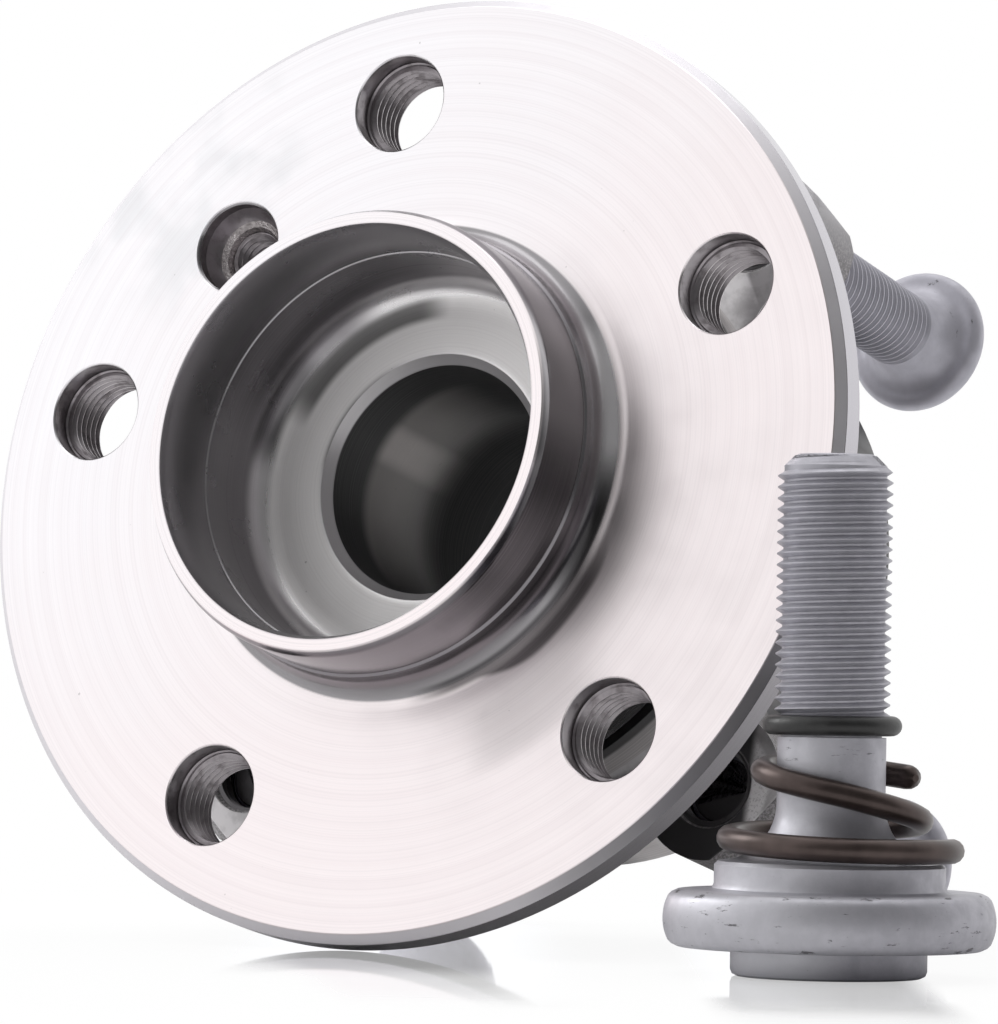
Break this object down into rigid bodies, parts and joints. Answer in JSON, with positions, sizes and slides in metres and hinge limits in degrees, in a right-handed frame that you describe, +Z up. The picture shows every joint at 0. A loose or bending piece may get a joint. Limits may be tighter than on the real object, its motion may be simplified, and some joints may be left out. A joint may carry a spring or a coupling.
{
  "type": "wheel hub bearing",
  "caption": "Flanged wheel hub turning on ball bearings in an eared outer ring, with knuckle bolts part screwed in and a face-spline axle bolt with retaining spring beside it.",
  "frame": {"origin": "centre of the wheel face, where the hub axis crosses the plane that the wheel bolts clamp to", "axes": "+X to the part's left as it stands with its wheel face towards the viewer, which is the viewer's right, +Y away from the wheel towards the knuckle, +Z up, square to the floor on which the part rests leaning back"},
  "size_m": [0.1747, 0.1488, 0.1394],
  "materials": {
    "machined_steel": "turned steel, bright on the wheel face, finely ringed by the tool",
    "ground_steel": "ground and honed bearing steel",
    "pressed_steel": "cold pressed sheet steel, satin",
    "encoder_rubber": "ferrite-filled rubber, flat and matt",
    "forged_steel": "dark forged skin on the ears, turned dark grey on the ring",
    "seal_rubber": "black nitrile on a steel core",
    "cage_polyamide": "moulded polyamide",
    "ball_steel": "polished bearing steel",
    "phosphated_steel": "matt grey zinc coating with dark scuffs",
    "spring_wire": "oil tempered wire, dark brown, half gloss",
    "o_ring_rubber": "black rubber, half matt"
  },
  "bodies": {
    "carrier": {"outer_ring": "forged_steel", "outboard_seal": "seal_rubber", "inboard_seal": "seal_rubber"},
    "hub": {"hub_flange": "machined_steel", "inner_ring": "ground_steel", "slinger": "pressed_steel", "encoder_ring": "encoder_rubber"},
    "outboard_row": {"outboard_cage": "cage_polyamide", "outboard_ball_1": "ball_steel", "outboard_ball_2": "ball_steel", "outboard_ball_3": "ball_steel", "outboard_ball_4": "ball_steel", "outboard_ball_5": "ball_steel", "outboard_ball_6": "ball_steel", "outboard_ball_7": "ball_steel", "outboard_ball_8": "ball_steel", "outboard_ball_9": "ball_steel", "outboard_ball_10": "ball_steel", "outboard_ball_11": "ball_steel", "outboard_ball_12": "ball_steel", "outboard_ball_13": "ball_steel", "outboard_ball_14": "ball_steel"},
    "inboard_row": {"inboard_cage": "cage_polyamide", "inboard_ball_1": "ball_steel", "inboard_ball_2": "ball_steel", "inboard_ball_3": "ball_steel", "inboard_ball_4": "ball_steel", "inboard_ball_5": "ball_steel", "inboard_ball_6": "ball_steel", "inboard_ball_7": "ball_steel", "inboard_ball_8": "ball_steel", "inboard_ball_9": "ball_steel", "inboard_ball_10": "ball_steel", "inboard_ball_11": "ball_steel", "inboard_ball_12": "ball_steel", "inboard_ball_13": "ball_steel", "inboard_ball_14": "ball_steel"},
    "knuckle_upper_left_bolt": {"upper_left_bolt": "phosphated_steel"},
    "knuckle_upper_right_bolt": {"upper_right_bolt": "phosphated_steel"},
    "knuckle_lower_right_bolt": {"lower_right_bolt": "phosphated_steel"},
    "knuckle_lower_left_bolt": {"lower_left_bolt": "phosphated_steel"},
    "loose_axle_bolt": {"axle_bolt": "phosphated_steel", "bolt_o_ring": "o_ring_rubber"},
    "retaining_spring": {"bolt_spring": "spring_wire"}
  },
  "joints": [
    {"name": "hub_spin", "type": "hinge", "parent": "carrier", "child": "hub", "pos_m": [0, 0, 0], "axis": [0, -0.9721, 0.2344], "continuous": true},
    {"name": "outboard_row_spin", "type": "hinge", "parent": "carrier", "child": "outboard_row", "pos_m": [0, 0.03694, -0.00891], "axis": [0, -0.9721, 0.2344], "continuous": true},
    {"name": "inboard_row_spin", "type": "hinge", "parent": "carrier", "child": "inboard_row", "pos_m": [0, 0.05736, -0.01383], "axis": [0, -0.9721, 0.2344], "continuous": true},
    {"name": "upper_left_bolt_turn", "type": "hinge", "parent": "carrier", "child": "knuckle_upper_left_bolt", "pos_m": [-0.03451, 0.06876, 0.02918], "axis": [0, -0.9721, 0.2344], "range_deg": [-360, 360]},
    {"name": "upper_right_bolt_turn", "type": "hinge", "parent": "carrier", "child": "knuckle_upper_right_bolt", "pos_m": [0.03451, 0.06876, 0.02918], "axis": [0, -0.9721, 0.2344], "range_deg": [-360, 360]},
    {"name": "lower_right_bolt_turn", "type": "hinge", "parent": "carrier", "child": "knuckle_lower_right_bolt", "pos_m": [0.03995, 0.04903, -0.05263], "axis": [0, -0.9721, 0.2344], "range_deg": [-360, 360]},
    {"name": "lower_left_bolt_turn", "type": "hinge", "parent": "carrier", "child": "knuckle_lower_left_bolt", "pos_m": [-0.03995, 0.04903, -0.05263], "axis": [0, -0.9721, 0.2344], "range_deg": [-360, 360]},
    {"name": "axle_bolt_apart", "type": "slide", "parent": "carrier", "child": "loose_axle_bolt", "axis": [1, 0, 0], "range_m": [0, 0.1]},
    {"name": "spring_lift", "type": "slide", "parent": "loose_axle_bolt", "child": "retaining_spring", "axis": [0, 0, 1], "range_m": [0, 0.0024]}
  ],
  "couplings": [
    {"joint": "outboard_row_spin", "follows": "hub_spin", "ratio": 0.4274},
    {"joint": "inboard_row_spin", "follows": "hub_spin", "ratio": 0.4274}
  ]
}
